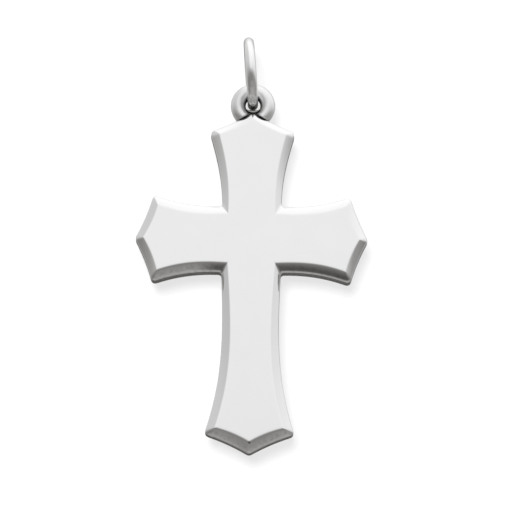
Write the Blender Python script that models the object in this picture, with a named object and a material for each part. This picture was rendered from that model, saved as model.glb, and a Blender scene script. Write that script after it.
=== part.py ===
"""A small silver cross pendant: a bevelled cross on a thin backing plate, a heavy eyelet soldered to
its top gable, and a round jump ring linked through the eyelet.

Frame: metres, +Z up, the front of the cross faces -Y. The origin is the middle of the whole pendant's
box. The cross hangs from the jump ring and swings about the eyelet's own axis, along Y.
"""

import math
from collections import namedtuple

import bmesh
import bpy
from mathutils import Matrix, Vector

MM = 0.001

# Jump ring: round wire, closed into a ring that stands edge-on to the front of the cross.
RING_OUTER_RADIUS = 3.62 * MM
RING_WIRE_RADIUS = 0.51 * MM
RING_LEAN = math.radians(4.5)  # the ring leans to the left over the cross at rest

# Eyelet: a thick round-section loop whose hole runs front to back.
EYELET_OUTER_RADIUS = 2.19 * MM
EYELET_HOLE_RADIUS = 0.72 * MM
HANG_CLEARANCE = 0.03 * MM  # between the eyelet's hole and the wire it hangs on
EYELET_ABOVE_TIP = 0.74 * MM  # from the cross's top tip up to the middle of the eyelet's hole

# An arm is measured along its own axis from the crossing, and across to one side of it.
# An outline adds where the arms meet, and the length taken off each edge to round its corners.
Arm = namedtuple("Arm", "tip corner_along corner_across root_slope corner_slope")
Outline = namedtuple("Outline", "half_width half_height side top bottom crotch_trim corner_trim tip_trim")
WALL = Outline(
    half_width=2.88 * MM,
    half_height=3.28 * MM,
    side=Arm(11.37 * MM, 9.64 * MM, 4.32 * MM, -0.03, 0.36),
    top=Arm(12.75 * MM, 10.74 * MM, 4.18 * MM, 0.00, 0.30),
    bottom=Arm(21.08 * MM, 19.15 * MM, 4.36 * MM, -0.05, 0.33),
    crotch_trim=0.32 * MM,
    corner_trim=0.34 * MM,
    tip_trim=0.32 * MM,
)
FACE = Outline(
    half_width=2.32 * MM,
    half_height=2.46 * MM,
    side=Arm(10.56 * MM, 9.17 * MM, 3.25 * MM, -0.06, 0.36),
    top=Arm(12.03 * MM, 10.41 * MM, 3.26 * MM, -0.05, 0.28),
    bottom=Arm(19.98 * MM, 18.63 * MM, 3.36 * MM, -0.08, 0.33),
    crotch_trim=0.04 * MM,
    corner_trim=0.06 * MM,
    tip_trim=0.06 * MM,
)
ROOT_REACH = 0.38  # how long a side's curve keeps its slope from each end, as part of its length
CORNER_REACH = 0.34
END_HOLLOW = 0.10 * MM  # how far each half of an arm's end bows inwards

# Through the thickness, from the front face back.
THICKNESS = 2.20 * MM
BEVEL_DEPTH = 0.36 * MM
SHOULDER = 0.16 * MM  # the blend from the bevel into the wall, in from the wall
SHOULDER_DEPTH = 0.24 * MM
BACK_PLATE = 0.70 * MM
SEAM_GAP = 0.03 * MM  # the solder line between the bevelled front and its backing plate
DRAFT = 0.03 * MM  # the backing plate stands out by this much
BACK_CHAMFER = 0.12 * MM

# Solder between the eyelet's feet and the gable.
SOLDER_THICKNESS = 0.10 * MM
SOLDER_GAP = 0.02 * MM
SOLDER_BULGE = 0.07 * MM  # how far it stands proud of the eyelet's round section

SIDE_STEPS = 14
END_STEPS = 7
ROUND_STEPS = 4
RING_SEGMENTS = 56
WIRE_SEGMENTS = 16
EYELET_SEGMENTS = 48
ACROSS = Vector((1, 0, 0))
FRONT_TO_BACK = Vector((0, 1, 0))

RING_RADIUS = RING_OUTER_RADIUS - RING_WIRE_RADIUS
EYELET_TUBE_RADIUS = (EYELET_OUTER_RADIUS - EYELET_HOLE_RADIUS) / 2
EYELET_RADIUS = (EYELET_OUTER_RADIUS + EYELET_HOLE_RADIUS) / 2
WIRE_ABOVE_PIVOT = EYELET_HOLE_RADIUS - RING_WIRE_RADIUS - HANG_CLEARANCE
RING_ABOVE_PIVOT = WIRE_ABOVE_PIVOT + RING_RADIUS
CROSSING_BELOW_PIVOT = EYELET_ABOVE_TIP + WALL.top.tip
RING_TOP_ABOVE_PIVOT = (RING_ABOVE_PIVOT + RING_RADIUS) * math.cos(RING_LEAN) + RING_WIRE_RADIUS
PIVOT_Z = (CROSSING_BELOW_PIVOT + WALL.bottom.tip - RING_TOP_ABOVE_PIVOT) / 2
FRONT_Y = -THICKNESS / 2
BACK_Y = THICKNESS / 2
SEAM_Y = BACK_Y - BACK_PLATE

Material = namedtuple("Material", "name colour roughness")
POLISHED = Material("polished_silver", (0.93, 0.92, 0.90, 1.0), 0.10)
SATIN = Material("satin_silver", (0.86, 0.85, 0.83, 1.0), 0.28)
SOLDER = Material("silver_solder", (0.78, 0.77, 0.74, 1.0), 0.32)


def clear_scene():
    for thing in list(bpy.data.objects):
        bpy.data.objects.remove(thing)


def make_material(material):
    made = bpy.data.materials.new(material.name)
    made.use_nodes = True
    shader = made.node_tree.nodes["Principled BSDF"]
    shader.inputs["Base Color"].default_value = material.colour
    shader.inputs["Roughness"].default_value = material.roughness
    shader.inputs["Metallic"].default_value = 1.0
    return made


def add_object(name, mesh, material, parent=None, location=(0, 0, 0)):
    made = bpy.data.objects.new(name, mesh)
    bpy.context.scene.collection.objects.link(made)
    made.parent = parent
    made.location = location
    if material:
        mesh.materials.append(material)
        mesh.shade_smooth()
        mesh.set_sharp_from_angle(angle=math.radians(30))
    return made


def add_cutter(name, mesh, parent, location=(0, 0, 0)):
    cutter = add_object(name, mesh, None, parent, location)
    cutter.hide_render = True
    cutter.display_type = "WIRE"
    return cutter


def cut(piece, cutter, operation):
    boolean = piece.modifiers.new(f"{operation.lower()} {cutter.name}", "BOOLEAN")
    boolean.operation = operation
    boolean.object = cutter
    boolean.solver = "EXACT"


# The outline of the cross


def bezier(controls, t):
    """A point on a cubic curve through its four control points."""
    a, b, c, d = controls
    s = 1 - t
    return s**3 * a + 3 * s * s * t * b + 3 * s * t * t * c + t**3 * d


def side_curve(arm, root):
    """The concave side of an arm, from the crossing out to the arm's corner."""
    corner = Vector((arm.corner_along, arm.corner_across))
    length = arm.corner_along - root.x
    return (
        root,
        root + Vector((1, arm.root_slope)) * ROOT_REACH * length,
        corner - Vector((1, arm.corner_slope)) * CORNER_REACH * length,
        corner,
    )


def end_curve(arm):
    """Half of an arm's hollowed end, from its corner in to the tip."""
    corner = Vector((arm.corner_along, arm.corner_across))
    tip = Vector((arm.tip, 0))
    along = tip - corner
    inwards = Vector((along.y, -along.x)).normalized() * END_HOLLOW * 4 / 3
    return corner, corner + along / 3 + inwards, corner + along * 2 / 3 + inwards, tip


def across_axis(curve):
    """The same curve on the arm's other side."""
    return [Vector((p.x, -p.y)) for p in curve]


def grown_arm(arm, width):
    """The arm with its sides and end moved out by width."""
    slant = math.atan2(arm.tip - arm.corner_along, arm.corner_across)
    lean = math.atan(arm.corner_slope)
    side_normal = (-math.sin(lean), math.cos(lean))
    end_normal = (math.cos(slant), math.sin(slant))
    move = Matrix((side_normal, end_normal)).inverted() @ Vector((width, width))
    return arm._replace(
        tip=arm.tip + width / math.cos(slant),
        corner_along=arm.corner_along + move.x,
        corner_across=arm.corner_across + move.y,
    )


def grown(outline, width):
    return outline._replace(
        half_width=outline.half_width + width,
        half_height=outline.half_height + width,
        side=grown_arm(outline.side, width),
        top=grown_arm(outline.top, width),
        bottom=grown_arm(outline.bottom, width),
    )


def arm_curves(arm, root, turns):
    """The four edges of one arm, counter-clockwise, turned by quarter turns about the crossing."""
    side = side_curve(arm, root)
    end = end_curve(arm)
    turn = Matrix.Rotation(turns * math.pi / 2, 2)
    edges = (across_axis(side), across_axis(end), end[::-1], side[::-1])
    return [[turn @ point for point in edge] for edge in edges]


def outline_points(outline):
    """Points round the cross, counter-clockwise seen from the front, as (x, z) from the crossing."""
    side_root = Vector((outline.half_width, outline.half_height))
    upright_root = side_root.yx
    arms = (
        (outline.side, side_root),
        (outline.top, upright_root),
        (outline.side, side_root),
        (outline.bottom, upright_root),
    )
    edges = []
    for turns, (arm, root) in enumerate(arms):
        edges += arm_curves(arm, root, turns)
    trims = [outline.crotch_trim, outline.corner_trim, outline.tip_trim, outline.corner_trim] * len(arms)
    steps = [SIDE_STEPS, END_STEPS, END_STEPS, SIDE_STEPS] * len(arms)
    starts = [trim / (edge[3] - edge[0]).length for trim, edge in zip(trims, edges)]
    points = []
    for i, edge in enumerate(edges):
        after = (i + 1) % len(edges)
        first = starts[i]
        last = 1 - trims[after] / (edge[3] - edge[0]).length
        points += [bezier(edge, first + (last - first) * k / steps[i]) for k in range(steps[i] + 1)]
        points += round_corner(points[-1], edge[3], bezier(edges[after], starts[after]))
    return points


def round_corner(begin, corner, finish):
    """Points between begin and finish on the curve that rounds off the corner."""
    fractions = [k / ROUND_STEPS for k in range(1, ROUND_STEPS)]
    return [begin * (1 - t) ** 2 + corner * 2 * t * (1 - t) + finish * t * t for t in fractions]


def finish_mesh(name, made):
    bmesh.ops.recalc_face_normals(made, faces=made.faces)
    mesh = bpy.data.meshes.new(name)
    made.to_mesh(mesh)
    made.free()
    return mesh


def loft(name, sections):
    """A closed solid through matching outlines at their depths: (points, y), from front to back."""
    made = bmesh.new()
    rings = [[made.verts.new((p.x, y, p.y)) for p in points] for points, y in sections]
    for near, far in zip(rings, rings[1:]):
        for i in range(len(near)):
            made.faces.new((near[i - 1], near[i], far[i], far[i - 1]))
    made.faces.new(rings[0])
    made.faces.new(rings[-1])
    return finish_mesh(name, made)


def front_mesh():
    bevel_y = FRONT_Y + BEVEL_DEPTH
    wall = outline_points(WALL)
    return loft(
        "cross_front",
        [
            (outline_points(FACE), FRONT_Y),
            (outline_points(grown(WALL, -SHOULDER)), bevel_y),
            (outline_points(grown(WALL, -SHOULDER / 4)), bevel_y + SHOULDER_DEPTH / 2),
            (wall, bevel_y + SHOULDER_DEPTH),
            (wall, SEAM_Y - SEAM_GAP),
        ],
    )


def back_mesh():
    wall = outline_points(grown(WALL, DRAFT))
    flat = outline_points(grown(WALL, DRAFT - BACK_CHAMFER))
    return loft("cross_back", [(wall, SEAM_Y), (wall, BACK_Y - BACK_CHAMFER), (flat, BACK_Y)])


def prism_mesh(name, width):
    """The cross's edge grown by width, well past both faces, for cutting what meets the edge."""
    outline = outline_points(grown(WALL, DRAFT + width))
    return loft(name, [(outline, -THICKNESS), (outline, THICKNESS)])


# Round pieces


def torus_mesh(name, radius, tube_radius, segments, axis):
    """A ring of round section about the given axis."""
    made = bmesh.new()
    angles = [k * 2 * math.pi / WIRE_SEGMENTS for k in range(WIRE_SEGMENTS)]
    upright = Vector((0, 0, 1))
    section = [
        upright * (radius + tube_radius * math.cos(a)) + axis * tube_radius * math.sin(a) for a in angles
    ]
    turns = [Matrix.Rotation(k * 2 * math.pi / segments, 3, axis) for k in range(segments)]
    rings = [[made.verts.new(turn @ point) for point in section] for turn in turns]
    for k in range(segments):
        for i in range(WIRE_SEGMENTS):
            made.faces.new((rings[k - 1][i - 1], rings[k - 1][i], rings[k][i], rings[k][i - 1]))
    return finish_mesh(name, made)


def hole_mesh():
    """A plug as wide as the eyelet's hole, along Y."""
    made = bmesh.new()
    bmesh.ops.create_cone(
        made,
        cap_ends=True,
        segments=EYELET_SEGMENTS,
        radius1=EYELET_HOLE_RADIUS,
        radius2=EYELET_HOLE_RADIUS,
        depth=2 * THICKNESS,
        matrix=Matrix.Rotation(math.pi / 2, 4, "X"),
    )
    return finish_mesh("hole_plug", made)


def half_space_mesh(side):
    """A block over one side of the eyelet: side is -1 for the left and 1 for the right."""
    made = bmesh.new()
    size = 3 * EYELET_OUTER_RADIUS
    bmesh.ops.create_cube(made, size=size, matrix=Matrix.Translation((side * size / 2, 0, 0)))
    return finish_mesh("half_space", made)


# The pieces


def build_jump_ring(silver):
    mesh = torus_mesh("jump_ring", RING_RADIUS, RING_WIRE_RADIUS, RING_SEGMENTS, ACROSS)
    lean = Matrix.Rotation(-RING_LEAN, 3, "Y")
    ring = add_object("jump_ring", mesh, silver)
    ring.location = Vector((0, 0, PIVOT_Z)) + lean @ Vector((0, 0, RING_ABOVE_PIVOT))
    ring.rotation_euler = lean.to_euler()


def build_cross(pivot, silver, satin):
    crossing = (0, 0, -CROSSING_BELOW_PIVOT)
    add_object("cross_front", front_mesh(), silver, pivot, crossing)
    add_object("cross_back", back_mesh(), satin, pivot, crossing)


def build_eyelet(pivot, silver):
    mesh = torus_mesh("eyelet", EYELET_RADIUS, EYELET_TUBE_RADIUS, EYELET_SEGMENTS, FRONT_TO_BACK)
    eyelet = add_object("eyelet", mesh, silver, pivot)
    room = SOLDER_THICKNESS + 2 * SOLDER_GAP
    gable = add_cutter("gable_cutter", prism_mesh("gable", room), pivot, (0, 0, -CROSSING_BELOW_PIVOT))
    cut(eyelet, gable, "DIFFERENCE")


def build_solder(pivot, solder):
    """One seam of solder under each foot of the eyelet, between the foot and the gable."""
    crossing = (0, 0, -CROSSING_BELOW_PIVOT)
    outer = prism_mesh("solder_outer", SOLDER_THICKNESS + SOLDER_GAP)
    inner = prism_mesh("solder_inner", SOLDER_GAP)
    outer_cutter = add_cutter("solder_outer_cutter", outer, pivot, crossing)
    inner_cutter = add_cutter("solder_inner_cutter", inner, pivot, crossing)
    plug_cutter = add_cutter("hole_cutter", hole_mesh(), pivot)
    for name, side in (("eyelet_solder_left", -1), ("eyelet_solder_right", 1)):
        tube = EYELET_TUBE_RADIUS + SOLDER_BULGE
        mesh = torus_mesh(name, EYELET_RADIUS, tube, EYELET_SEGMENTS, FRONT_TO_BACK)
        seam = add_object(name, mesh, solder, pivot)
        half = add_cutter(f"{name}_half", half_space_mesh(side), pivot)
        cut(seam, half, "INTERSECT")
        cut(seam, outer_cutter, "INTERSECT")
        cut(seam, inner_cutter, "DIFFERENCE")
        cut(seam, plug_cutter, "DIFFERENCE")


def main():
    clear_scene()
    silver = make_material(POLISHED)
    satin = make_material(SATIN)
    solder = make_material(SOLDER)
    pivot = bpy.data.objects.new("eyelet_axis", None)
    bpy.context.scene.collection.objects.link(pivot)
    pivot.location = (0, 0, PIVOT_Z)
    build_jump_ring(silver)
    build_cross(pivot, silver, satin)
    build_eyelet(pivot, silver)
    build_solder(pivot, solder)


main()
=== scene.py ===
"""The silver cross pendant as it looks: bevelled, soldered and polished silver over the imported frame."""

import math
from collections import namedtuple

import bmesh
import bpy
from mathutils import Matrix, Vector, noise


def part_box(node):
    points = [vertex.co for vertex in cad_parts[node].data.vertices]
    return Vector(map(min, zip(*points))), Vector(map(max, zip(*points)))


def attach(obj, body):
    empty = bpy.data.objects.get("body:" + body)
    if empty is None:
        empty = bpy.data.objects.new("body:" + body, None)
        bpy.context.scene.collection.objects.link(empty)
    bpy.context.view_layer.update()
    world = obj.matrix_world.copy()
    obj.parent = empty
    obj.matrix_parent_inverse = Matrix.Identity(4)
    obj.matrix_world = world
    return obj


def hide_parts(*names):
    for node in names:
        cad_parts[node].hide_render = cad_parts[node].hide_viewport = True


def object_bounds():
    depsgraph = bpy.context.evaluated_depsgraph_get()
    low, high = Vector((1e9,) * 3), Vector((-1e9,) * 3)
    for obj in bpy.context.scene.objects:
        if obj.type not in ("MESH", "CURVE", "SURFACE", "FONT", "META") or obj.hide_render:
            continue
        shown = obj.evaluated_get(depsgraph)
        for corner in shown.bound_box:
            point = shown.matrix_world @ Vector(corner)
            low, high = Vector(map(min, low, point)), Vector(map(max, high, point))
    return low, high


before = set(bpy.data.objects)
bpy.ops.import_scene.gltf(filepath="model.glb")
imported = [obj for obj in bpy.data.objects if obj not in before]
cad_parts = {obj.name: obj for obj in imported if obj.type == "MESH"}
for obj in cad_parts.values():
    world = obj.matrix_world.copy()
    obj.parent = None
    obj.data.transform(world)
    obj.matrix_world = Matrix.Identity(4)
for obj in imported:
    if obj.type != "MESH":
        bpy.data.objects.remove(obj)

CAD_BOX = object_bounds()

MM = 0.001
FULL_TURN = 2 * math.pi
QUARTER_TURN = math.pi / 2

# The cross's outlines, as in the CAD part but with the arms' corners a little rounder and their ends a
# little hollower. An arm is measured along its own axis from the crossing, and across to one side of it.
Arm = namedtuple("Arm", "tip corner_along corner_across root_slope corner_slope")
Outline = namedtuple("Outline", "half_width half_height side top bottom crotch_trim corner_trim tip_trim")
WALL = Outline(
    half_width=2.88 * MM,
    half_height=3.28 * MM,
    side=Arm(11.37 * MM, 9.64 * MM, 4.32 * MM, -0.03, 0.36),
    top=Arm(12.75 * MM, 10.74 * MM, 4.18 * MM, 0.00, 0.30),
    bottom=Arm(21.08 * MM, 19.15 * MM, 4.36 * MM, -0.05, 0.33),
    crotch_trim=0.32 * MM,
    corner_trim=0.50 * MM,
    tip_trim=0.32 * MM,
)
FACE = Outline(
    half_width=2.32 * MM,
    half_height=2.46 * MM,
    side=Arm(10.56 * MM, 9.17 * MM, 3.25 * MM, -0.06, 0.36),
    top=Arm(12.03 * MM, 10.41 * MM, 3.26 * MM, -0.05, 0.28),
    bottom=Arm(19.98 * MM, 18.63 * MM, 3.36 * MM, -0.08, 0.33),
    crotch_trim=0.04 * MM,
    corner_trim=0.06 * MM,
    tip_trim=0.06 * MM,
)
ROOT_REACH = 0.38  # how long a side's curve keeps its slope from each end, as part of its length
CORNER_REACH = 0.34
END_HOLLOW = 0.14 * MM  # how far each half of an arm's end bows inwards

# From the front face back.
FACE_EDGE = 0.18  # share of the bevel taken by the softened edge of the face
EDGE_INSET = 0.19 * MM  # how far in from the face's outline its soft edge starts
BEVEL_DEPTH = 0.36 * MM
BEVEL_BULGE = 0.022 * MM  # polishing has left the bevel slightly convex
SHOULDER = 0.16 * MM  # how far in from the wall the bevel ends and its rounded shoulder starts
SHOULDER_DEPTH = 0.24 * MM
SEAM_ROUND = 0.055 * MM
SEAM_WANDER = 0.018 * MM
WANDER_LENGTH = 1.1 * MM
CAP_INSET = 0.35 * MM  # in from the wall to the rim of the hidden face at the seam
DRAFT = 0.03 * MM  # the backing plate stands out by this much
BACK_ROUND = 0.16 * MM

EYELET_HOLE_RADIUS = 0.72 * MM
EYELET_OUTER_RADIUS = 2.19 * MM
EYELET_ABOVE_TIP = 0.74 * MM  # from the cross's top tip up to the middle of the eyelet's hole
RING_WIRE_RADIUS = 0.51 * MM
RING_OUTER_RADIUS = 3.62 * MM
RING_LEAN = math.radians(4.5)
HANG_CLEARANCE = 0.03 * MM
JOINT_TURN = math.radians(118)  # where the ring's wire closes, round from its top
JOINT_WIDTH = 0.022
JOINT_DEPTH = 0.05  # share of the wire's radius

# A collar of solder round each foot of the eyelet.
COLLAR_WIDTH = 0.13 * MM
COLLAR_HEIGHT = 0.15 * MM
COLLAR_EDGE = 0.004 * MM  # how far the collar's top edge stands off the eyelet
COLLAR_OVERLAP = 0.01 * MM  # how far its lower edge sinks into the gable
COLLAR_SUNK = 0.04 * MM  # how far its hidden end is below the gable
COLLAR_CORE = 0.9  # radius of that end, as a share of the tube's
COLLAR_LUMPS = 0.35
LUMP_SCALE = 1.3
LUMP_PLACE = 3.1  # where in the noise each collar's lumps come from, so that the two differ

# Solder in the foot of the eyelet's hole, whose dark fill also stands in for the shade seen there.
WEB_SPREAD = math.radians(56)
WEB_HALF_THICKNESS = 0.62 * MM
WEB_ROOT_RADIUS = 0.80 * MM
WEB_CREST_RADIUS = 0.44 * MM
WEB_RISE = 0.30 * MM  # how much farther its crest is from the hole's middle at its two ends
WEB_ROUNDING = 0.55

# How finely things are divided.
SIDE_STEPS = 44
END_STEPS = 22
CORNER_STEPS = 8
EDGE_STEPS = 6
BEVEL_STEPS = 6
SHOULDER_STEPS = 8
SEAM_STEPS = 4
BACK_STEPS = 6
TUBE_SIDES = 40
EYELET_SEGMENTS = 96
RING_SEGMENTS = 180
COLLAR_STEPS = 8
WEB_STEPS_ACROSS = 24
WEB_STEPS_THROUGH = 8
FOOT_SEARCH = (math.radians(60), math.radians(178))  # a foot of the eyelet ends between these turns
FOOT_HALVINGS = 40
SHORTEST = 1e-9  # keeps two points of the gable at one x from dividing by nothing

EYELET_TUBE = (EYELET_OUTER_RADIUS - EYELET_HOLE_RADIUS) / 2
EYELET_RADIUS = (EYELET_OUTER_RADIUS + EYELET_HOLE_RADIUS) / 2
RING_RADIUS = RING_OUTER_RADIUS - RING_WIRE_RADIUS
WIRE_ABOVE_PIVOT = EYELET_HOLE_RADIUS - RING_WIRE_RADIUS - HANG_CLEARANCE
TUBE_ANGLES = [k * FULL_TURN / TUBE_SIDES for k in range(TUBE_SIDES)]

front_low, front_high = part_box("cross_front")
back_low, back_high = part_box("cross_back")
FRONT_Y = front_low.y
BACK_Y = back_high.y
FRONT_END_Y = front_high.y
SEAM_Y = back_low.y
PIVOT_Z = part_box("eyelet")[1].z - EYELET_OUTER_RADIUS
PIVOT = Vector((0, 0, PIVOT_Z))
CROSSING = Vector((0, 0, PIVOT_Z - EYELET_ABOVE_TIP - WALL.top.tip))


# Outlines, as (x, z) from the crossing


def bezier(controls, t):
    """The point at t on a cubic curve."""
    a, b, c, d = controls
    s = 1 - t
    return s**3 * a + 3 * s * s * t * b + 3 * s * t * t * c + t**3 * d


def side_curve(arm, root):
    """One long side of an arm, from where the arms meet out to its corner."""
    corner = Vector((arm.corner_along, arm.corner_across))
    length = arm.corner_along - root.x
    return (
        root,
        root + Vector((1, arm.root_slope)) * ROOT_REACH * length,
        corner - Vector((1, arm.corner_slope)) * CORNER_REACH * length,
        corner,
    )


def end_curve(arm):
    """Half of an arm's pointed end, from its corner to its tip, bowed a little inwards."""
    corner = Vector((arm.corner_along, arm.corner_across))
    tip = Vector((arm.tip, 0))
    along = tip - corner
    inwards = Vector((along.y, -along.x)).normalized() * END_HOLLOW * 4 / 3
    return corner, corner + along / 3 + inwards, corner + along * 2 / 3 + inwards, tip


def across_axis(curve):
    return [Vector((p.x, -p.y)) for p in curve]


def grown_arm(arm, width):
    """The arm with its side and its end each moved outwards by width."""
    slant = math.atan2(arm.tip - arm.corner_along, arm.corner_across)
    lean = math.atan(arm.corner_slope)
    side_normal = (-math.sin(lean), math.cos(lean))
    end_normal = (math.cos(slant), math.sin(slant))
    move = Matrix((side_normal, end_normal)).inverted() @ Vector((width, width))
    return arm._replace(
        tip=arm.tip + width / math.cos(slant),
        corner_along=arm.corner_along + move.x,
        corner_across=arm.corner_across + move.y,
    )


def grown(outline, width):
    return outline._replace(
        half_width=outline.half_width + width,
        half_height=outline.half_height + width,
        side=grown_arm(outline.side, width),
        top=grown_arm(outline.top, width),
        bottom=grown_arm(outline.bottom, width),
    )


def arm_curves(arm, root, turns):
    """The four curves of an arm, turned by that many quarter turns."""
    side = side_curve(arm, root)
    end = end_curve(arm)
    turn = Matrix.Rotation(turns * QUARTER_TURN, 2)
    edges = (across_axis(side), across_axis(end), end[::-1], side[::-1])
    return [[turn @ point for point in edge] for edge in edges]


def round_corner(begin, corner, finish):
    """Points between begin and finish on the curve that rounds off the corner."""
    fractions = [k / CORNER_STEPS for k in range(1, CORNER_STEPS)]
    return [begin * (1 - t) ** 2 + corner * 2 * t * (1 - t) + finish * t * t for t in fractions]


def outline_points(outline):
    """Points round the cross. Outlines have matching points, so that a loft can run through them."""
    side_root = Vector((outline.half_width, outline.half_height))
    upright_root = side_root.yx
    arms = (
        (outline.side, side_root),
        (outline.top, upright_root),
        (outline.side, side_root),
        (outline.bottom, upright_root),
    )
    edges = []
    for turns, (arm, root) in enumerate(arms):
        edges += arm_curves(arm, root, turns)
    trims = [outline.crotch_trim, outline.corner_trim, outline.tip_trim, outline.corner_trim] * len(arms)
    steps = [SIDE_STEPS, END_STEPS, END_STEPS, SIDE_STEPS] * len(arms)
    starts = [trim / (edge[3] - edge[0]).length for trim, edge in zip(trims, edges)]
    points = []
    for i, edge in enumerate(edges):
        after = (i + 1) % len(edges)
        first = starts[i]
        last = 1 - trims[after] / (edge[3] - edge[0]).length
        points += [bezier(edge, first + (last - first) * k / steps[i]) for k in range(steps[i] + 1)]
        points += round_corner(points[-1], edge[3], bezier(edges[after], starts[after]))
    return points


def between(a, b, t):
    return [p.lerp(q, t) for p, q in zip(a, b)]


# Meshes


def loft(loops, ends_meet=False):
    """A closed solid through matching loops of points, capped at both ends unless they meet."""
    made = bmesh.new()
    rings = [[made.verts.new(point) for point in loop] for loop in loops]
    pairs = list(zip(rings, rings[1:]))
    if ends_meet:
        pairs.insert(0, (rings[-1], rings[0]))
    for near, far in pairs:
        for i in range(len(near)):
            made.faces.new((near[i - 1], near[i], far[i], far[i - 1]))
    if not ends_meet:
        made.faces.new(rings[0])
        made.faces.new(rings[-1])
    return made


def level(points, y):
    """An outline's points as a loop at one depth."""
    return [(p.x, y, p.y) for p in points]


def at_depths(points, depths):
    """An outline's points as a loop, each at its own depth."""
    return [(p.x, y, p.y) for p, y in zip(points, depths)]


def seam_depths(points, base):
    """The seam wanders a little in depth as it runs round the wall."""
    return [base + SEAM_WANDER * noise.noise(Vector((p.x, p.y, 0)) / WANDER_LENGTH) for p in points]


def quarter_arc(steps, first=0):
    """Sine and cosine of each step of a quarter turn."""
    angles = [k / steps * QUARTER_TURN for k in range(first, steps + 1)]
    return [(math.sin(a), math.cos(a)) for a in angles]


def face_edge_loops(face, shoulder, edge_depth):
    """The flat face's rim, then its softened edge down to where the bevel starts."""
    inner = outline_points(grown(FACE, -EDGE_INSET))
    loops = [level(outline_points(grown(FACE, -2 * EDGE_INSET)), FRONT_Y), level(inner, FRONT_Y)]
    for k in range(1, EDGE_STEPS + 1):
        t = k / EDGE_STEPS
        across = 2 * t - 1
        points = between(face, shoulder, FACE_EDGE * across) if across > 0 else between(face, inner, -across)
        loops.append(level(points, FRONT_Y + edge_depth * t * t))
    return loops


def bevel_loops(face, shoulder, edge_depth):
    """The bevel, slightly convex, from the face's softened edge down to the shoulder."""
    loops = []
    for k in range(1, BEVEL_STEPS + 1):
        t = k / BEVEL_STEPS
        depth = edge_depth + (BEVEL_DEPTH - edge_depth) * t - 4 * BEVEL_BULGE * t * (1 - t)
        loops.append(level(between(face, shoulder, FACE_EDGE + (1 - FACE_EDGE) * t), FRONT_Y + depth))
    return loops


def shoulder_loops():
    """The rounded turn from the bevel into the wall."""
    start, turn, end = BEVEL_DEPTH, BEVEL_DEPTH + SHOULDER, BEVEL_DEPTH + SHOULDER_DEPTH
    loops = []
    for k in range(1, SHOULDER_STEPS + 1):
        t = k / SHOULDER_STEPS
        depth = (1 - t) ** 2 * start + 2 * t * (1 - t) * turn + t * t * end
        loops.append(level(outline_points(grown(WALL, -SHOULDER * (1 - t) ** 2)), FRONT_Y + depth))
    return loops


def front_mesh():
    wall = outline_points(WALL)
    face = outline_points(FACE)
    shoulder = outline_points(grown(WALL, -SHOULDER))
    edge_depth = (BEVEL_DEPTH - 4 * BEVEL_BULGE) * FACE_EDGE
    seam = seam_depths(wall, FRONT_END_Y)
    loops = face_edge_loops(face, shoulder, edge_depth) + bevel_loops(face, shoulder, edge_depth)
    loops += shoulder_loops()
    loops.append(at_depths(wall, [y - SEAM_ROUND for y in seam]))
    for sine, cosine in quarter_arc(SEAM_STEPS, first=1):
        points = outline_points(grown(WALL, -SEAM_ROUND * (1 - cosine)))
        loops.append(at_depths(points, [y - SEAM_ROUND * (1 - sine) for y in seam]))
    loops.append(at_depths(outline_points(grown(WALL, -CAP_INSET)), seam))
    return loft(loops)


def back_mesh():
    seam = seam_depths(outline_points(WALL), SEAM_Y)
    loops = [at_depths(outline_points(grown(WALL, -CAP_INSET)), seam)]
    for sine, cosine in quarter_arc(SEAM_STEPS):
        points = outline_points(grown(WALL, DRAFT - SEAM_ROUND * (1 - sine)))
        loops.append(at_depths(points, [y + SEAM_ROUND * (1 - cosine) for y in seam]))
    for sine, cosine in quarter_arc(BACK_STEPS):
        points = outline_points(grown(WALL, DRAFT - BACK_ROUND * (1 - cosine)))
        loops.append(level(points, BACK_Y - BACK_ROUND * (1 - sine)))
    return loft(loops)


def gable_height(gable, x):
    """Height above the crossing, at x, of the top arm's gable, given as (x, height) from left to right."""
    for (x0, z0), (x1, z1) in zip(gable, gable[1:]):
        if x0 <= x <= x1:
            return z0 + (z1 - z0) * (x - x0) / max(x1 - x0, SHORTEST)
    return gable[0][1]


def tube_point(tube, tube_angle, turn):
    """A point on a tube of that radius along the eyelet: round the tube, then round the eyelet."""
    radius = EYELET_RADIUS + tube * math.cos(tube_angle)
    return Vector((radius * math.sin(turn), tube * math.sin(tube_angle), radius * math.cos(turn)))


def foot_turn(gable, tube, tube_angle, side, lift):
    """How far round the eyelet that line of the tube comes down to lift above the gable, on one side."""
    radius = EYELET_RADIUS + tube * math.cos(tube_angle)
    above, below = FOOT_SEARCH
    for _ in range(FOOT_HALVINGS):
        middle = (above + below) / 2
        x = side * radius * math.sin(middle)
        z = radius * math.cos(middle) + (PIVOT_Z - CROSSING.z)
        if z > gable_height(gable, x) + lift:
            above = middle
        else:
            below = middle
    return side * (above + below) / 2


def eyelet_mesh(gable):
    """The eyelet's round-section loop, with its two feet cut to the gable."""
    left_feet = [foot_turn(gable, EYELET_TUBE, angle, -1, 0.0) for angle in TUBE_ANGLES]
    right_feet = [foot_turn(gable, EYELET_TUBE, angle, 1, 0.0) for angle in TUBE_ANGLES]
    loops = []
    for j in range(EYELET_SEGMENTS + 1):
        t = j / EYELET_SEGMENTS
        feet = zip(TUBE_ANGLES, left_feet, right_feet)
        loops.append([tube_point(EYELET_TUBE, a, left + (right - left) * t) for a, left, right in feet])
    return loft(loops)


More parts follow.
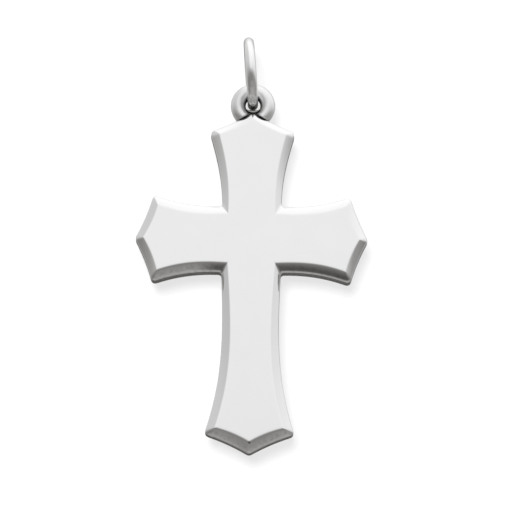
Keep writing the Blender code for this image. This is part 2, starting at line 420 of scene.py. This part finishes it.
def collar_mesh(gable, side):
    """A drawn-up, slightly lumpy collar of solder round one foot of the eyelet."""
    core = EYELET_TUBE * COLLAR_CORE
    loops = [[tube_point(core, a, foot_turn(gable, core, a, side, -COLLAR_SUNK)) for a in TUBE_ANGLES]]
    for sine, cosine in quarter_arc(COLLAR_STEPS):
        loop = []
        for angle in TUBE_ANGLES:
            place = Vector((math.cos(angle), math.sin(angle), side * LUMP_PLACE)) * LUMP_SCALE
            lumps = 1 + COLLAR_LUMPS * noise.noise(place)
            tube = EYELET_TUBE + (COLLAR_WIDTH * (1 - sine) + COLLAR_EDGE) * lumps
            lift = COLLAR_HEIGHT * (1 - cosine) * lumps - COLLAR_OVERLAP
            loop.append(tube_point(tube, angle, foot_turn(gable, tube, angle, side, lift)))
        loops.append(loop)
    return loft(loops)


def web_mesh():
    """Solder that has run into the foot of the eyelet's hole and closes the corner over the gable's tip; as a
    dark fill it also stands in for the shade seen through the hole there.
    """
    loops = []
    for j in range(WEB_STEPS_ACROSS + 1):
        turn = -WEB_SPREAD + 2 * WEB_SPREAD * j / WEB_STEPS_ACROSS
        crest = WEB_CREST_RADIUS + WEB_RISE * (turn / WEB_SPREAD) ** 2
        outwards = Vector((math.sin(turn), 0, -math.cos(turn)))
        loop = []
        for k in range(WEB_STEPS_THROUGH + 1):
            angle = -QUARTER_TURN + k / WEB_STEPS_THROUGH * math.pi
            radius = crest + (WEB_ROOT_RADIUS - crest) * (1 - math.cos(angle)) * WEB_ROUNDING
            loop.append(outwards * radius + Vector((0, WEB_HALF_THICKNESS * math.sin(angle), 0)))
        for y in (WEB_HALF_THICKNESS, -WEB_HALF_THICKNESS):
            loop.append(outwards * WEB_ROOT_RADIUS + Vector((0, y, 0)))
        loops.append(loop)
    return loft(loops)


def ring_mesh():
    """The jump ring, with a hair-fine closed joint in its wire, leaning over to the left."""
    lean = Matrix.Rotation(-RING_LEAN, 3, "Y")
    loops = []
    for j in range(RING_SEGMENTS):
        turn = j * FULL_TURN / RING_SEGMENTS
        nick = math.exp(-(((turn - JOINT_TURN) / JOINT_WIDTH) ** 2))
        wire = RING_WIRE_RADIUS * (1 - JOINT_DEPTH * nick)
        loop = []
        for angle in TUBE_ANGLES:
            radius = RING_RADIUS + wire * math.cos(angle)
            around = Vector((wire * math.sin(angle), radius * math.sin(turn), radius * math.cos(turn)))
            loop.append(lean @ around)
        loops.append(loop)
    return loft(loops, ends_meet=True)


# Materials


def grey(value):
    return (value, value, value, 1)


class Nodes:
    """A short way to build a node tree."""

    def __init__(self, tree):
        self.tree = tree

    def add(self, kind, inputs=None, **settings):
        node = self.tree.nodes.new(kind)
        for name, value in settings.items():
            setattr(node, name, value)
        for name, value in (inputs or {}).items():
            if isinstance(value, bpy.types.NodeSocket):
                self.tree.links.new(value, node.inputs[name])
            else:
                node.inputs[name].default_value = value
        return node

    def ramp(self, factor, stops):
        """A colour that runs through (position, colour) stops."""
        stops = list(stops)
        node = self.add("ShaderNodeValToRGB", {"Fac": factor})
        elements = node.color_ramp.elements
        while len(elements) < len(stops):
            elements.new(0.5)
        for element, (position, colour) in zip(elements, stops):
            element.position = position
            element.color = colour
        return node.outputs["Color"]

    def fade(self, value, span, start=0.0, full=1.0):
        """Runs smoothly from start to full as value goes from the span's first end to its second."""
        inputs = {"Value": value, "From Min": span[0], "From Max": span[1], "To Min": start, "To Max": full}
        return self.add("ShaderNodeMapRange", inputs, interpolation_type="SMOOTHSTEP").outputs["Result"]

    def maths(self, operation, *values):
        return self.add("ShaderNodeMath", dict(enumerate(values)), operation=operation).outputs[0]

    def larger(self, a, b):
        return self.maths("MAXIMUM", a, b)

    def multiply(self, a, b):
        return self.maths("MULTIPLY", a, b)

    def distance(self, a, b):
        return self.add("ShaderNodeVectorMath", {0: a, 1: b}, operation="DISTANCE").outputs["Value"]

    def split(self, vector):
        return self.add("ShaderNodeSeparateXYZ", {"Vector": vector}).outputs

    def blend(self, factor, a, b):
        return self.add("ShaderNodeMix", {0: factor, 6: a, 7: b}, data_type="RGBA").outputs[2]


NOISE_SPAN = (0.3, 0.7)  # nearly all of a noise texture's values lie between these

# A finish: its name, the two tones and the two roughnesses that it varies between, how closely its
# hairlines lie along each axis, and how strong their relief is.
Finish = namedtuple("Finish", "name bright dull smooth rough hairlines relief")
POLISHED = Finish("polished_silver", 0.935, 0.92, 0.07, 0.12, (9000, 900, 2200), 0.05)
LOOP = Finish("loop_silver", 0.93, 0.89, 0.30, 0.38, (5000, 1500, 1500), 0.12)
WIRE = Finish("wire_silver", 0.95, 0.93, 0.20, 0.26, (6000, 1500, 1500), 0.03)
SATIN = Finish("satin_silver", 0.89, 0.85, 0.20, 0.32, (14000, 900, 700), 0.30)
SOLDER = Finish("solder_silver", 0.60, 0.36, 0.26, 0.40, (3000, 3000, 3000), 0.40)

CLOUDS = {"Scale": 420.0, "Detail": 3.0, "Roughness": 0.55}
HAIRS = {"Scale": 1.0, "Detail": 4.0, "Roughness": 0.6}
HAIR_TILT = (0.0, 0.5, 0.0)
HAIR_SPAN = (0.35, 0.7)
HAIR_HEIGHT = 0.01 * MM
FACING_DOWN = (-0.2, -0.5)  # a normal's height where a surface starts to face down, and where it fully does
GRAIN = {"Scale": 2600.0, "Detail": 5.0, "Roughness": 0.7}
GRAIN_SPAN = (0.42, 0.72)
# How dark the mottled grain and painted underside shade get.
GRAIN_AND_UNDERSIDE_SHADE_DARKNESS = 0.24
GRAIN_IN_TARNISH_AND_SHADE = 0.3  # what is left of the grain and underside shade where tarnish and painted shade are full

# Tarnish and painted shade. Each span runs from where it starts to where it is full.
# The dark colour of tarnish, also used for painted shade.
TARNISH_AND_SHADE = (0.035, 0.033, 0.03, 1)
TARNISH_AND_SHADE_ROUGHNESS = 0.25
ROUGHER_SPAN = (0.1, 0.9)
CREASE_REACH = 0.5 * MM
CREASE_SAMPLES = 8
CREASE_SPAN = (0.72, 0.30)  # in how open a place is to its surroundings
# How dark creases get: painted shade from ambient occlusion, partly tarnish.
CREASE_SHADE_AND_TARNISH = 0.96
WIRE_CREASE_SHADE_AND_TARNISH = 0.6  # the same, for the ring's wire
SEAM_SPAN = (0.14 * MM, 0.03 * MM)  # in distance from the seam
SEAM_TARNISH = 0.62
SPOT_CORE = 0.35  # share of a pit's or a painted shade spot's radius
PIT_AND_SHADE_SPOT_DARKNESS = 0.85
ARMS_SPAN = (-6 * MM, -3 * MM)  # along the arms, from the crossing
ABOVE_SPAN = (-5.5 * MM, -5.2 * MM)  # in height from the crossing
BEVEL_SPAN = (FRONT_Y + 0.46 * MM, FRONT_Y + 0.32 * MM)  # in depth, so that it keeps to the bevel
# How dark the painted shade under the arms gets.
ARMS_SHADE = 0.74

# A pit that polishing misses at the face's bottom tip, and a painted shade spot at the gable's tip in the
# foot of the eyelet's hole, each a place from the crossing and a radius.
FACE_TIP_PIT = ((0.02 * MM, FRONT_Y, -FACE.bottom.tip - 0.02 * MM), 0.17 * MM)
GABLE_TIP_SHADE_SPOT = ((0.0, FRONT_Y + 0.3 * MM, WALL.top.tip - 0.15 * MM), 0.30 * MM)


def under_arms(n, place, underneath):
    """Painted shade on the bevels under the arms: all along the right one, and part way along the left one.
    """
    x, y, z = n.split(place)
    along = n.fade(x, ARMS_SPAN, full=ARMS_SHADE)
    faces_down = n.multiply(n.fade(z, ABOVE_SPAN), underneath)
    return n.multiply(n.multiply(along, faces_down), n.fade(y, BEVEL_SPAN))


def tarnish_and_shade(n, place, underneath, seam, pits_and_shade_spots, arms, deepest):
    """How dark the silver is: tarnish and painted shade in its creases, a dark seam, its pits and painted
    shade spots, and painted shade under the arms.
    """
    crease = {"Distance": CREASE_REACH}
    # Painted shade: creases and contacts darkened by ambient occlusion, on top of some real tarnish.
    openness = n.add("ShaderNodeAmbientOcclusion", crease, samples=CREASE_SAMPLES).outputs["AO"]
    dark = n.fade(openness, CREASE_SPAN, full=deepest)
    if seam is not None:
        from_seam = n.maths("ABSOLUTE", n.maths("SUBTRACT", n.split(place)["Y"], seam))
        dark = n.larger(dark, n.fade(from_seam, SEAM_SPAN, full=SEAM_TARNISH))
    # Pits darken the colour, and so does the painted shade spot at the gable's tip.
    for position, radius in pits_and_shade_spots:
        from_spot = n.distance(place, position)
        dark = n.larger(dark, n.fade(from_spot, (radius, radius * SPOT_CORE), full=PIT_AND_SHADE_SPOT_DARKNESS))
    if arms:
        dark = n.larger(dark, under_arms(n, place, underneath))
    return dark


def silver(finish, seam=None, pits_and_shade_spots=(), arms=False, deepest=CREASE_SHADE_AND_TARNISH):
    """Silver with a cloudy tone, fine hairlines, mottled grain and painted shade on downward faces, and
    tarnish and painted shade in its creases and where polishing misses.
    """
    material = bpy.data.materials.new(finish.name)
    material.use_nodes = True
    n = Nodes(material.node_tree)
    coordinates = n.add("ShaderNodeTexCoord")
    place = coordinates.outputs["Object"]
    clouds = n.add("ShaderNodeTexNoise", {"Vector": place, **CLOUDS}).outputs["Fac"]
    tone = n.ramp(clouds, zip(NOISE_SPAN, (grey(finish.dull), grey(finish.bright))))
    drawn_out = {"Vector": place, "Scale": finish.hairlines, "Rotation": HAIR_TILT}
    along_hairs = n.add("ShaderNodeMapping", drawn_out).outputs["Vector"]
    hairs = n.add("ShaderNodeTexNoise", {"Vector": along_hairs, **HAIRS}).outputs["Fac"]

    # Painted shade: a mottled darkening only on surfaces that face down, partly grain.
    underneath = n.fade(n.split(coordinates.outputs["Normal"])["Z"], FACING_DOWN)
    speckle = n.add("ShaderNodeTexNoise", {"Vector": place, **GRAIN}).outputs["Fac"]
    grain_and_underside_shade = n.multiply(underneath, n.fade(speckle, GRAIN_SPAN, full=GRAIN_AND_UNDERSIDE_SHADE_DARKNESS))
    stain_and_shade = tarnish_and_shade(n, place, underneath, seam, pits_and_shade_spots, arms, deepest)
    shown_grain_and_underside_shade = n.multiply(grain_and_underside_shade, n.fade(stain_and_shade, (0.0, 1.0), start=1.0, full=GRAIN_IN_TARNISH_AND_SHADE))
    dark = n.maths("ADD", stain_and_shade, shown_grain_and_underside_shade)

    gloss = n.fade(hairs, HAIR_SPAN, finish.smooth, finish.rough)
    rougher = n.fade(dark, ROUGHER_SPAN, full=TARNISH_AND_SHADE_ROUGHNESS)
    relief = n.add("ShaderNodeBump", {"Height": hairs, "Strength": finish.relief, "Distance": HAIR_HEIGHT})
    shader = material.node_tree.nodes["Principled BSDF"]
    shader.inputs["Metallic"].default_value = 1.0
    n.tree.links.new(n.blend(dark, tone, TARNISH_AND_SHADE), shader.inputs["Base Color"])
    n.tree.links.new(n.maths("ADD", gloss, rougher), shader.inputs["Roughness"])
    n.tree.links.new(relief.outputs["Normal"], shader.inputs["Normal"])
    return material


# The pendant

NORMAL_WEIGHT = 60


def add_object(name, made, material, location):
    """An object from a bmesh, with its one material."""
    mesh = bpy.data.meshes.new(name)
    made.to_mesh(mesh)
    made.free()
    mesh.materials.append(material)
    thing = bpy.data.objects.new(name, mesh)
    bpy.context.scene.collection.objects.link(thing)
    thing.location = location
    return thing


def add_piece(name, made, body, material, nodes, location):
    bmesh.ops.recalc_face_normals(made, faces=made.faces)
    piece = add_object(name, made, material, location)
    piece.data.shade_smooth()
    weighted = piece.modifiers.new("weighted normals", "WEIGHTED_NORMAL")
    weighted.mode = "FACE_AREA"
    weighted.weight = NORMAL_WEIGHT
    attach(piece, body)
    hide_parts(*nodes)


def add_pendant():
    front = silver(POLISHED, seam=FRONT_END_Y, pits_and_shade_spots=(FACE_TIP_PIT, GABLE_TIP_SHADE_SPOT), arms=True)
    loop = silver(LOOP)
    wire = silver(WIRE, deepest=WIRE_CREASE_SHADE_AND_TARNISH)
    back = silver(SATIN, seam=SEAM_Y)
    solder = silver(SOLDER)
    gable = sorted((p.x, p.y) for p in outline_points(grown(WALL, DRAFT)) if p.y > WALL.top.corner_along)
    left, right = "eyelet_solder_left", "eyelet_solder_right"
    lean = Matrix.Rotation(-RING_LEAN, 3, "Y")
    ring_centre = PIVOT + lean @ Vector((0, 0, WIRE_ABOVE_PIVOT + RING_RADIUS))

    add_piece("cross_front_skin", front_mesh(), "cross", front, ["cross_front"], CROSSING)
    add_piece("cross_back_skin", back_mesh(), "cross", back, ["cross_back"], CROSSING)
    add_piece("eyelet_skin", eyelet_mesh(gable), "cross", loop, ["eyelet"], PIVOT)
    add_piece("solder_left_skin", collar_mesh(gable, -1), "cross", solder, [left], PIVOT)
    add_piece("solder_right_skin", collar_mesh(gable, 1), "cross", solder, [right], PIVOT)
    # The solder web also stands in for the shade in the foot of the eyelet's hole.
    add_piece("solder_and_shade_web", web_mesh(), "cross", solder, [left, right], PIVOT)
    add_piece("jump_ring_skin", ring_mesh(), "ring", wire, ["jump_ring"], ring_centre)


# The studio: a pale floor well below, a pale sheet close behind that takes the soft shadow, and a bright
# room, which the silver mirrors

FLOOR_SIZE = 3.0
FLOOR_DROP = 75 * MM
SHEET_SIZE = 0.12
SHEET_BEHIND = 3.75 * MM
PAPER = {"Scale": 300.0, "Detail": 2.0}
PAPER_SHADE = 0.99

KEY_PLACE = Vector((-0.05, -0.42, 0.06))
KEY_SIZE = 0.16
KEY_POWER = 3.8
SEEN_WHITE = 1.02  # how bright the camera sees the room itself
WARMTH = 0.12
WARM_BELOW = 0.5

# Where one band of the room's light gives way to the next, in a direction's x or y.
LEFT_SPAN = (-0.15, -0.65)
RIGHT_SPAN = (0.25, 0.75)
REAR_SPAN = (0.1, 0.6)
REAR_SIDES_SPAN = (0.45, 0.75)

# How bright the room is towards each height, from -1 straight down to 1 straight up.
CENTRE_BAND = [
    (-1, 0.42), (-0.9, 0.37), (-0.8, 0.31), (-0.6, 0.27), (-0.4, 0.22), (-0.2, 0.20), (-0.1, 0.28),
    (0, 0.5), (0.08, 0.78), (0.13, 0.865), (0.19, 0.89), (0.26, 0.895), (0.45, 0.94), (0.7, 1.0),
    (0.9, 1.06), (1, 1.12),
]
LEFT_BAND = [
    (-1, 0.40), (-0.6, 0.20), (-0.3, 0.22), (-0.12, 0.31), (0.02, 0.45), (0.14, 0.53), (0.33, 0.63),
    (0.5, 0.64), (0.85, 0.68), (1, 1.1),
]
RIGHT_BAND = [
    (-1, 0.40), (-0.6, 0.32), (-0.3, 0.28), (-0.12, 0.30), (0.02, 0.58), (0.14, 0.76), (0.33, 0.86),
    (0.5, 0.93), (0.8, 1.08), (1, 1.12),
]
REAR_BAND = [
    (-1, 0.42), (-0.5, 0.15), (-0.25, 0.08), (-0.15, 0.12), (-0.05, 0.22), (0.08, 0.30), (0.25, 0.36),
    (0.5, 0.50), (0.8, 0.84), (1, 1.1),
]
REAR_SIDES_BAND = [(-1, 0.42), (-0.5, 0.42), (-0.3, 0.46), (0, 0.52), (0.3, 0.68), (0.6, 0.82), (1, 1.1)]


def add_pale_sheet(name, size, location, upright, shine, take):
    """A white surface, nearly as bright as the room, that darkens where a shadow falls on its front."""
    material = bpy.data.materials.new(name)
    material.use_nodes = True
    n = Nodes(material.node_tree)
    n.tree.nodes.remove(n.tree.nodes["Principled BSDF"])
    paper = n.add("ShaderNodeTexNoise", PAPER).outputs["Fac"]
    tone = n.ramp(paper, zip(NOISE_SPAN, (grey(take * PAPER_SHADE), grey(take))))
    lit = n.add("ShaderNodeBsdfDiffuse", {"Color": tone}).outputs[0]
    glow = n.add("ShaderNodeEmission", {"Color": grey(1.0), "Strength": shine}).outputs[0]
    surface = n.add("ShaderNodeAddShader", {0: lit, 1: glow}).outputs[0]
    clear = n.add("ShaderNodeBsdfTransparent").outputs[0]
    from_behind = n.add("ShaderNodeNewGeometry").outputs["Backfacing"]
    one_sided = n.add("ShaderNodeMixShader", {0: from_behind, 1: surface, 2: clear}).outputs[0]
    n.tree.links.new(one_sided, n.tree.nodes["Material Output"].inputs["Surface"])

    made = bmesh.new()
    turn = Matrix.Rotation(QUARTER_TURN, 4, "X") if upright else Matrix.Identity(4)
    bmesh.ops.create_grid(made, x_segments=1, y_segments=1, size=size / 2, matrix=turn)
    sheet = add_object(name, made, material, location)
    sheet.visible_glossy = False
    sheet.visible_diffuse = False
    sheet.visible_transmission = False
    sheet.visible_shadow = False


def add_key_light():
    """A soft light in front, a little above and to the left, which the silver doesn't mirror."""
    data = bpy.data.lights.new("soft_key", "AREA")
    data.shape = "DISK"
    data.size = KEY_SIZE
    data.energy = KEY_POWER
    light = bpy.data.objects.new("soft_key", data)
    bpy.context.scene.collection.objects.link(light)
    light.location = KEY_PLACE
    light.rotation_mode = "QUATERNION"
    light.rotation_quaternion = (-KEY_PLACE).to_track_quat("-Z", "Y")
    light.visible_glossy = False


def band_colours(band):
    """A band's ramp stops, a little warm where it is dark."""
    stops = []
    for z, value in band:
        warmth = max(0.0, WARM_BELOW - value) * WARMTH
        stops.append(((z + 1) / 2, (value * (1 + warmth), value, value * (1 - warmth), 1)))
    return stops


def make_world():
    """The room: brighter above, darker below, to the left and behind. The camera sees it white."""
    world = bpy.data.worlds.new("studio")
    bpy.context.scene.world = world
    world.use_nodes = True
    n = Nodes(world.node_tree)
    x, y, z = n.split(n.add("ShaderNodeTexCoord").outputs["Generated"])
    height = n.add("ShaderNodeMapRange", {"Value": z, "From Min": -1.0, "From Max": 1.0}).outputs["Result"]
    bands = (CENTRE_BAND, LEFT_BAND, RIGHT_BAND, REAR_BAND, REAR_SIDES_BAND)
    centre, left, right, rear, rear_sides = [n.ramp(height, band_colours(band)) for band in bands]
    front = n.blend(n.fade(x, RIGHT_SPAN), n.blend(n.fade(x, LEFT_SPAN), centre, left), right)
    behind = n.blend(n.fade(n.maths("ABSOLUTE", x), REAR_SIDES_SPAN), rear, rear_sides)
    tones = n.blend(n.fade(y, REAR_SPAN), front, behind)
    room = n.add("ShaderNodeBackground", {"Color": tones, "Strength": 1.0}).outputs[0]
    white = n.add("ShaderNodeBackground", {"Color": grey(1.0), "Strength": SEEN_WHITE}).outputs[0]
    seen = n.add("ShaderNodeLightPath").outputs["Is Camera Ray"]
    shown = n.add("ShaderNodeMixShader", {0: seen, 1: room, 2: white}).outputs[0]
    n.tree.links.new(shown, n.tree.nodes["World Output"].inputs["Surface"])


# The camera: in front of the cross and a little below it

VIEW_BELOW = math.radians(10.8)
VIEW_ROLL = math.radians(0.65)
VIEW_DISTANCE = 280 * MM
VIEW_WIDTH = 50.1 * MM  # what the picture takes in, across, at the cross's front
AIM_RIGHT = 0.61 * MM
AIM_BELOW_CROSSING = 1.90 * MM
SENSOR_WIDTH = 36.0
CLIP_NEAR = 0.01
CLIP_FAR = 10.0


def add_camera():
    data = bpy.data.cameras.new("camera")
    data.sensor_width = SENSOR_WIDTH
    data.lens = SENSOR_WIDTH * VIEW_DISTANCE / VIEW_WIDTH
    data.clip_start = CLIP_NEAR
    data.clip_end = CLIP_FAR
    camera = bpy.data.objects.new("camera", data)
    bpy.context.scene.collection.objects.link(camera)
    bpy.context.scene.camera = camera
    aim = Vector((AIM_RIGHT, FRONT_Y, CROSSING.z - AIM_BELOW_CROSSING))
    forward = Vector((0, math.cos(VIEW_BELOW), math.sin(VIEW_BELOW)))
    camera.location = aim - forward * VIEW_DISTANCE
    camera.rotation_mode = "QUATERNION"
    level_look = forward.to_track_quat("-Z", "Y")
    camera.rotation_quaternion = level_look @ Matrix.Rotation(VIEW_ROLL, 3, "Z").to_quaternion()


add_pendant()
add_pale_sheet("floor", FLOOR_SIZE, (0, 0, CAD_BOX[0].z - FLOOR_DROP), upright=False, shine=0.75, take=0.30)
add_pale_sheet("shadow_sheet", SHEET_SIZE, (0, SHEET_BEHIND, 0), upright=True, shine=0.72, take=0.15)
add_key_light()
make_world()
add_camera()
bpy.context.scene.view_settings.view_transform = "Standard"
bpy.context.scene.view_settings.look = "None"
